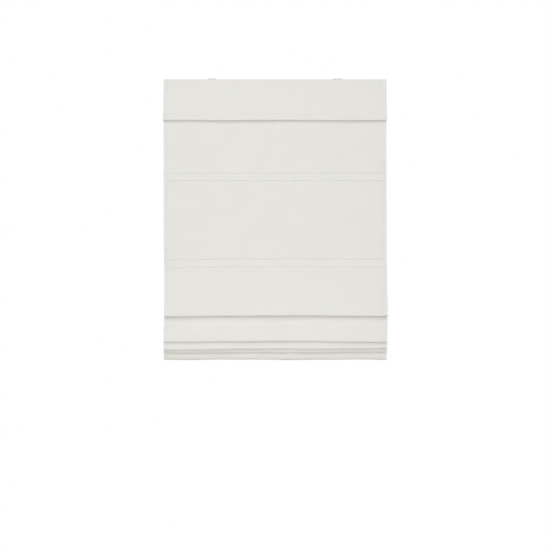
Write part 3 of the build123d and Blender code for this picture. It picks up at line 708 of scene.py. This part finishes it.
# %% Valance
VALANCE_UPPER_WIDTH = 797.0 * MM
VALANCE_HEM_WIDTH = 805.0 * MM
VALANCE_WAVE = 0.8 * MM
VALANCE_WAVE_START = 0.15
VALANCE_PUCKER_TURN = 29
FLARE_HEIGHT = 6.0 * MM
FLARE_UPPER_SHARE = 0.5
CORNER_BULGE = 1.6 * MM
CORNER_HALF = 12.0 * MM


def valance_shape(x, s, offset):
    """Points of the valance at x across and s along it, offset from its middle towards the front."""
    hem = smooth((s - valance_seam) / FLARE_HEIGHT + FLARE_UPPER_SHARE)
    width = VALANCE_UPPER_WIDTH + (VALANCE_HEM_WIDTH - VALANCE_UPPER_WIDTH) * hem
    wave = np.sin(2 * math.pi * (x / WAVE_LENGTHS[0] + VALANCE_WAVE_START))
    lift = VALANCE_WAVE * smooth(s / valance_edge) * wave
    lift = lift + puckers(x, s, valance_seam, VALANCE_PUCKER_TURN, 0)
    corner = bell(x - (HALF_WIDTH - 2 * CORNER_HALF), CORNER_HALF) * bell(s - CORNER_HALF, CORNER_HALF / 2)
    lift = lift + CORNER_BULGE * corner
    side_seam = bell(HALF_WIDTH - np.abs(x) - SIDE_HEM, SEAM_HALF)
    pressed = np.maximum(bell(s - valance_seam, SEAM_HALF), side_seam)
    depth = lift + np.where(offset > 0, offset - SEAM_DEPTH * pressed, offset)
    y, z, ny, nz = place_on(valance_line, s)
    return np.stack([x * width / CLOTH_WIDTH, y + ny * depth, z + nz * depth], axis=-1)


valance = blind_sheet("valance_cloth", valance_shape, 0, valance_line["s"][-1], [valance_seam])
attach(valance, "root")
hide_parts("valance")
print("valance", len(valance.data.polygons), "faces")

# %% [markdown]
# ## Side lines of the pocket tapes
# Behind the cloth, a woven tape is sewn along each rod. It lies flat against the cloth, goes round the rod
# and comes back, so the rod can't fall out. It is drawn from the side as the cloth was. Its loop takes its
# size from the rod's tips, which have to pass through it.

# %% Side lines of the pocket tapes
TAPE_THICK = 0.6 * MM
TAPE_BELOW = 5.5 * MM
FLAT_POCKETS = (1, 2)
LOOP_GAP = 0.3 * MM
LOOP_STEPS = 13
CLOTH_BACK = CLOTH_Y + CLOTH_THICK / 2


def tape_points(number):
    """Side line of the tape on one rod, from the top of its pocket round the rod to the bottom."""
    low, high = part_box(f"rod_tips_{number}")
    rod_y, rod_z = (low.y + high.y) / 2, (low.z + high.z) / 2
    loop_r = (high.y - low.y) / 2 + LOOP_GAP + TAPE_THICK / 2
    face_y = CLOTH_BACK + TAPE_THICK / 2
    mouth = math.acos(min(1, (rod_y - face_y) / loop_r))
    top, bottom = pockets[number - 1]
    if number in FLAT_POCKETS:
        bottom -= TAPE_BELOW
    points = [(face_y, top)]
    for turn in np.linspace(math.pi - mouth, mouth - math.pi, LOOP_STEPS):
        points.append((rod_y + loop_r * math.cos(turn), rod_z + loop_r * math.sin(turn)))
    return points + [(face_y, bottom)]


tape_lines = [measured(tape_points(number)) for number in ROD_NUMBERS]
print("tape round each rod", [round(line["s"][-1] / MM, 1) for line in tape_lines], "mm")

# %% [markdown]
# ## Pocket tapes
# A tape is a narrow sheet without seams or waves of its own, because the rod keeps it straight. Its rows of
# points are closer than the cloth's, so that the small loop comes out round.

# %% Pocket tapes
TAPE_SHORT = 2.0 * MM
TAPE_ROW_STEP = 0.8 * MM
TAPE_COLUMNS = 40


def tape_maker(line):
    """The shape function of a plain sheet along a side line."""
    def shape(x, s, offset):
        y, z, ny, nz = place_on(line, s)
        return np.stack([x, y + ny * offset, z + nz * offset], axis=-1)
    return shape


tape_half = HALF_WIDTH - TAPE_SHORT
for number, tape_line in zip(ROD_NUMBERS, tape_lines):
    tape_length = tape_line["s"][-1]
    tape = sheet_on(
        f"pocket_tape_{number}", tape_maker(tape_line), np.linspace(-tape_half, tape_half, TAPE_COLUMNS),
        np.linspace(0, tape_length, int(tape_length / TAPE_ROW_STEP)), TAPE_THICK, tape_cloth, "pocket_tape",
    )
    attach(tape, f"rod_{number}")
    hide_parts(f"rod_pocket_{number}")
    print("pocket tape", number, "has", len(tape.data.polygons), "faces")

# %% [markdown]
# ## Sewing thread
# A lockstitch shows as a row of short thread bars with a dip at each needle hole. The thread is less matt
# than the cloth, and its colour is a little darker: partly the spun polyester's own tone and partly painted
# shade for the small dark line along each seam. At this size a bar needs no round section: a slim eight-sided
# grain catches the light the same way. Every grain is placed on the cloth's own shape, so the rows follow
# its waves and sags.

# %% Stitch maker
STITCH_PITCH = 3.6 * MM
STITCH_LENGTH = 2.9 * MM
STITCH_WIDTH = 0.6 * MM
STITCH_HEIGHT = 0.5 * MM
OUTWARD_STEP = 1.0 * MM

# A grain has a point at each end, on each side, below and above
GRAIN_POINTS = 6
GRAIN_FACES = [(0, 2, 4), (2, 1, 4), (1, 3, 4), (3, 0, 4), (2, 0, 5), (1, 2, 5), (3, 1, 5), (0, 3, 5)]

# The thread colour is partly its own tone and partly painted shade that darkens the seam lines
thread_with_seam_shade_finish, _ = new_finish(
    "spun_polyester_thread_painted_seam_shade", Base_Color=colour("D6D2C7"), Roughness=0.7, Sheen_Weight=0.2
)


def stitches(name, shape, x, s, offset):
    """One grain of thread at each place x across and s along a cloth, lying along the row."""
    centres = shape(x, s, offset)
    along = np.gradient(centres, axis=0)
    along /= np.linalg.norm(along, axis=1, keepdims=True)
    out = shape(x, s, offset + math.copysign(OUTWARD_STEP, offset)) - centres
    out /= np.linalg.norm(out, axis=1, keepdims=True)
    side = np.cross(out, along)
    reach = [along * STITCH_LENGTH, side * STITCH_WIDTH, out * STITCH_HEIGHT]
    points = np.stack([centres + sign * r / 2 for r in reach for sign in (-1, 1)], axis=1).reshape(-1, 3)
    faces = (np.arange(len(x))[:, None, None] * GRAIN_POINTS + np.array(GRAIN_FACES)).reshape(-1, 3)
    return new_piece(name, points, faces.tolist(), thread_with_seam_shade_finish, "blind_cloth")


print("a stitch every", round(STITCH_PITCH / MM, 1), "mm")

# %% [markdown]
# ## Rows of stitches across the blind
# Rows run along the pockets in the flat part, the bottom hem and the valance's hem, and at the back along
# both edges of every tape. Each row keeps to the piece that it is sewn to, so one list of rows and their
# bodies makes them all.

# %% Rows of stitches across
SEAM_MARGIN = 3.0 * MM
TAPE_SEAM = 2.2 * MM
CLOTH_FRONT = CLOTH_THICK / 2
TAPE_BACK = -TAPE_THICK / 2

across = np.arange(-HALF_WIDTH + SEAM_MARGIN, HALF_WIDTH - SEAM_MARGIN, STITCH_PITCH)
cross_rows = [
    ("stitches_bottom_hem", cloth_shape, hem_seam, CLOTH_FRONT, "rod_6"),
    ("stitches_valance_hem", valance_shape, valance_seam, CLOTH_FRONT, "root"),
]
for number in FLAT_POCKETS:
    for row, seam in zip(("upper", "lower"), pocket_seams[number - 1]):
        cross_rows.append((f"stitches_{number}_{row}", cloth_shape, seam, CLOTH_FRONT, f"rod_{number}"))
for number, tape_line in zip(ROD_NUMBERS, tape_lines):
    tape_shape, rod = tape_maker(tape_line), f"rod_{number}"
    for row, seam in (("top", TAPE_SEAM), ("low", tape_line["s"][-1] - TAPE_SEAM)):
        cross_rows.append((f"stitches_tape_{number}_{row}", tape_shape, seam, TAPE_BACK, rod))
for name, shape, seam, offset, body in cross_rows:
    thread = stitches(name, shape, across, np.full_like(across, seam), offset)
    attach(thread, body)
print("rows across", len(cross_rows), "of", len(across), "stitches")

# %% [markdown]
# ## Rows of stitches down the sides
# The side hems are sewn from top to bottom in one go. Here their rows are cut where the cloth is cut, and
# each is placed as its length of cloth is, fixed or on the last rod, so thread and cloth stay together.

# %% Rows of stitches down the sides


def hem_rows(name, start, end):
    """Stitches down the left and right side hems of one length of cloth."""
    down = np.arange(start + STITCH_PITCH / 2, end, STITCH_PITCH)
    rows = []
    for side, sign in (("left", -1), ("right", 1)):
        hem_x = np.full_like(down, sign * (HALF_WIDTH - SIDE_HEM))
        rows.append(stitches(f"stitches_{name}_{side}", cloth_shape, hem_x, down, CLOTH_FRONT))
    return rows


for name, start, end, above, below, blend_from, blend_to in cloth_lengths:
    for thread in hem_rows(name, start, end):
        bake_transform(thread)
for thread in hem_rows("skirt", skirt_start, bottom_mark):
    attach(thread, "rod_6")
print("rows down the sides", 2 * len(cloth_lengths) + 2)

# %% [markdown]
# ## Braided cord
# The lift cords are braided polyester, with strands that cross in small diamonds. To the eye they are matt,
# with a fine sparkle of ridges. Real strands could be modelled, but at this size two sets of slanting waves,
# laid over each other, give the same diamond relief.

# %% Cord finish
STRAND = 0.9 * MM
BRAID_ANGLE = math.radians(35)
BRAID_RELIEF = 0.1 * MM

braid_finish, braid_shader = new_finish(
    "braided_polyester_cord", Base_Color=colour("EBEAE4"), Roughness=0.75, Sheen_Weight=0.15
)
place = add(braid_finish, "ShaderNodeTexCoord").outputs["Object"]
strands = []
for angle in (BRAID_ANGLE, -BRAID_ANGLE):
    slant = add(braid_finish, "ShaderNodeMapping", {"Vector": place, "Rotation": (0, angle, 0)})
    wave = {"Vector": slant.outputs[0], "Scale": WAVE_BAND / STRAND}
    strands.append(add(braid_finish, "ShaderNodeTexWave", wave, bands_direction="Z").outputs["Color"])
crossed = add(braid_finish, "ShaderNodeMath", dict(enumerate(strands)), operation="MAXIMUM")
relief = {"Height": crossed.outputs[0], "Strength": 0.6, "Distance": BRAID_RELIEF}
link(braid_finish, add(braid_finish, "ShaderNodeBump", relief).outputs["Normal"], braid_shader, "Normal")
print("cord strands", round(STRAND / MM, 2), "mm apart")

# %% [markdown]
# ## Tubes for the cords
# A cord is a round tube along a path. A curve with a bevel would give one too, but here the cords are
# meshes from the start.

# %% Tubes
# Where a path runs along X by more than this share, its rings are laid out from Z, and elsewhere from X
ALONG_X_SHARE = 0.7


def tube(path, radius, sides):
    """Points and faces of a closed tube round a path."""
    ahead = np.gradient(path, axis=0)
    ahead /= np.linalg.norm(ahead, axis=1, keepdims=True)
    guide = np.where(np.abs(ahead[:, :1]) < ALONG_X_SHARE, [[1.0, 0, 0]], [[0, 0, 1.0]])
    first = np.cross(ahead, guide)
    first /= np.linalg.norm(first, axis=1, keepdims=True)
    second = np.cross(ahead, first)
    turns = np.arange(sides) * 2 * math.pi / sides
    ring = first[:, None] * np.cos(turns)[None, :, None] + second[:, None] * np.sin(turns)[None, :, None]
    points = (path[:, None] + radius * ring).reshape(-1, 3)
    index = np.arange(len(points)).reshape(-1, sides)
    beside = np.roll(index, -1, axis=1)
    walls = np.stack([index[:-1], beside[:-1], beside[1:], index[1:]], axis=-1).reshape(-1, 4)
    return points, walls.tolist() + [index[0, ::-1].tolist(), index[-1].tolist()]


def several(parts):
    """Points and faces of several tubes as one mesh."""
    points, faces, count = [], [], 0
    for part_points, part_faces in parts:
        points.append(part_points)
        faces += [[i + count for i in face] for face in part_faces]
        count += len(part_points)
    return np.concatenate(points), faces


cord_names = ("left", "middle", "right")
cord_boxes = [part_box(f"lift_cord_{name}") for name in cord_names]
cord_places = [((low.x + high.x) / 2, (low.y + high.y) / 2) for low, high in cord_boxes]
print("cords at", [round(x, 3) for x, _ in cord_places])

# %% [markdown]
# ## Lift cords
# Three braided cords run from the spools in the headrail, through a ring on each rod, to a stop under the
# lowest rod. The weight of the cloth keeps them taut, so they are straight tubes. One span between two
# rods is one piece, because that span shortens when those rods draw together.

# %% Lift cords
CORD_R = 0.7 * MM
CORD_SIDES = 8
CORD_STEP = 12.0 * MM

ring_boxes = [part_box(f"cord_rings_{number}") for number in ROD_NUMBERS]
ring_levels = [(low.z + high.z) / 2 for low, high in ring_boxes]
span_ends = [cord_boxes[0][1].z, *ring_levels[:-1], cord_boxes[0][0].z]
rod_names = ["root"] + [f"rod_{number}" for number in ROD_NUMBERS]
for span, (above, below) in enumerate(zip(rod_names, rod_names[1:])):
    top, bottom = span_ends[span], span_ends[span + 1]
    drops = np.linspace(top, bottom, int((top - bottom) / CORD_STEP) + 2)
    paths = [
        np.stack([np.full_like(drops, x), np.full_like(drops, y), drops], axis=-1) for x, y in cord_places
    ]
    points, faces = several([tube(path, CORD_R, CORD_SIDES) for path in paths])
    cords = new_piece(f"cord_span_{span + 1}", points, faces, braid_finish, "braided_cord")
    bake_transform(cords)
    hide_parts("lift_cord_left", "lift_cord_middle", "lift_cord_right")
print("cord spans between", [round(z, 3) for z in span_ends])

# %% [markdown]
# ## Cord wound on the spools
# At half height, about twenty turns of each cord lie side by side on its spool. A plain sleeve could stand
# for them, but a helix of the cord's own thickness gives the ridges of the wound turns.

# %% Wound cord
CORD_TURNS = 20
TURN_STEPS = 28
WOUND_SIDES = 6

for name in cord_names:
    low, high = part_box(f"cord_turns_{name}")
    axis_y, axis_z = (low.y + high.y) / 2, (low.z + high.z) / 2
    wound_r = (high.z - low.z) / 2 - CORD_R
    turn = np.linspace(0, CORD_TURNS * 2 * math.pi, CORD_TURNS * TURN_STEPS + 1)
    path_x = np.linspace(low.x + CORD_R, high.x - CORD_R, len(turn))
    helix = np.stack([path_x, axis_y - wound_r * np.cos(turn), axis_z + wound_r * np.sin(turn)], axis=-1)
    wound = new_piece(f"wound_cord_{name}", *tube(helix, CORD_R, WOUND_SIDES), braid_finish, "braided_cord")
    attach(wound, "lift_shaft")
    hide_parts(f"cord_turns_{name}")
print("wound cord", CORD_TURNS, "turns of radius", round(wound_r / MM, 2), "mm on each spool")

# %% [markdown]
# ## Plastics
# The small fittings are injection-moulded. The mould's steel is spark-eroded, so the parts come out with a
# fine grain that scatters highlights. Rings and cord stops come from a polished mould, because cord has to
# slide on them. One function makes them all from a colour, a gloss and a grain.

# %% Plastic finishes


def grained(name, code, roughness, grain, relief):
    """A surface of one colour with a fine grain of that size and depth."""
    material, shader = new_finish(name, Base_Color=colour(code), Roughness=roughness, Specular_IOR_Level=0.45)
    place = add(material, "ShaderNodeTexCoord").outputs["Object"]
    speckle = add(material, "ShaderNodeTexNoise", {"Vector": place, "Scale": 1 / grain, "Detail": 2.0})
    heights = {"Height": speckle.outputs["Fac"], "Strength": 0.5, "Distance": relief}
    link(material, add(material, "ShaderNodeBump", heights).outputs["Normal"], shader, "Normal")
    return material


FINE_RELIEF = 0.02 * MM
finishes = {
    "white_plastic": grained("moulded_abs_white", "EFEEEA", 0.5, grain=0.5 * MM, relief=FINE_RELIEF),
    "latch_plastic": grained("moulded_nylon_latch", "E3E2DD", 0.42, grain=0.6 * MM, relief=FINE_RELIEF),
    "spool_plastic": grained("moulded_acetal_spool", "F2F1EC", 0.32, grain=0.4 * MM, relief=0.01 * MM),
    "motor_plastic": grained("moulded_abs_grey", "C9CBCD", 0.48, grain=0.5 * MM, relief=FINE_RELIEF),
    "ring_plastic": grained("polished_mould_nylon", "F1F0EB", 0.18, grain=0.8 * MM, relief=0.005 * MM),
}
print("plastics", [m.name for m in finishes.values()])

# %% [markdown]
# ## Drawn metal and fibreglass
# Drawn and rolled metal keeps fine lines along its length, so highlights break into streaks. Fibreglass
# rods are pulled through a die, and their glass strands show as pale lines in the resin. Both are noise
# stretched along the bar, which needs no map on the parts.

# %% Drawn finishes
LINE_LENGTH = 60.0 * MM
GLOSS_SPREAD = 0.3


def drawn(name, code, line_code, metallic, roughness, line_width):
    """A bar finish with fine lines along X in two close colours."""
    bar, shader = new_finish(name, Metallic=metallic)
    place = add(bar, "ShaderNodeTexCoord").outputs["Object"]
    scale = (1 / LINE_LENGTH, 1 / line_width, 1 / line_width)
    stretched = add(bar, "ShaderNodeMapping", {"Vector": place, "Scale": scale}).outputs[0]
    noise = add(bar, "ShaderNodeTexNoise", {"Vector": stretched, "Scale": 1.0, "Detail": 3.0})
    lines = noise.outputs["Fac"]
    colours = {"Factor": lines, MIX_A: colour(code), MIX_B: colour(line_code)}
    shades = add(bar, "ShaderNodeMix", colours, data_type="RGBA")
    link(bar, shades.outputs[MIX_RESULT], shader, "Base Color")
    smoothest, roughest = roughness * (1 - GLOSS_SPREAD), roughness * (1 + GLOSS_SPREAD)
    gloss = add(bar, "ShaderNodeMapRange", {"Value": lines, "To Min": smoothest, "To Max": roughest})
    link(bar, gloss.outputs["Result"], shader, "Roughness")
    return bar


finishes |= {
    "bar_aluminium": drawn("mill_extruded_aluminium", "C8C9CA", "DADBDC", 1.0, 0.36, line_width=0.5 * MM),
    "shaft_steel": drawn("cold_drawn_steel", "A7A9AB", "BFC1C3", 1.0, 0.3, line_width=0.4 * MM),
    "spring_steel": drawn("rolled_spring_steel", "868A90", "9DA1A6", 1.0, 0.24, line_width=0.6 * MM),
    "rod_fibreglass": drawn("pultruded_fibreglass", "E6E4D6", "F3F2EA", 0.0, 0.4, line_width=0.3 * MM),
}
print("finishes so far", len(finishes))

# %% [markdown]
# ## Zinc plate, powder coat and hook tape
# Zinc plating shows a faint mottle of crystals, which varies its gloss. Powder coat has the ripple of paint
# that melted in the oven, and hook and loop tape a deep rough pile. Both of these are grains of another size,
# so the plastics' function makes them too.

# %% Zinc plate, powder coat and hook tape
ZINC_MOTTLE = 4.0 * MM

zinc, zinc_shader = new_finish("bright_zinc_plated_steel", Metallic=1.0, Base_Color=colour("BCBFC1"))
place = add(zinc, "ShaderNodeTexCoord").outputs["Object"]
mottle = add(zinc, "ShaderNodeTexVoronoi", {"Vector": place, "Scale": 1 / ZINC_MOTTLE})
gloss = add(zinc, "ShaderNodeMapRange", {"Value": mottle.outputs["Distance"], "To Min": 0.26, "To Max": 0.42})
link(zinc, gloss.outputs["Result"], zinc_shader, "Roughness")
finishes |= {
    "zinc_steel": zinc,
    "coated_aluminium": grained("powder_coated_aluminium", "EDECE8", 0.38, grain=1.4 * MM, relief=0.03 * MM),
    "hook_and_loop": grained("hook_and_loop_nylon", "EDECE8", 0.9, grain=0.7 * MM, relief=0.6 * MM),
}
print("finishes", sorted(finishes))

# %% [markdown]
# ## Dressing the frame
# Each ready-made part names a finish slot, so one loop gives every part its material. Parts that the cloth,
# tapes and cords stand for stay hidden.

# %% Dress the frame
dressed = 0
for part in frame["record"]["subparts"]:
    node = frame["nodes"][part["node"]]
    finish = finishes.get(part["material_slot"])
    if finish and not node.hide_render:
        node.data.materials.clear()
        node.data.materials.append(finish)
        dressed += 1
print("parts dressed", dressed, "and hidden", sum(node.hide_render for node in frame["nodes"].values()))
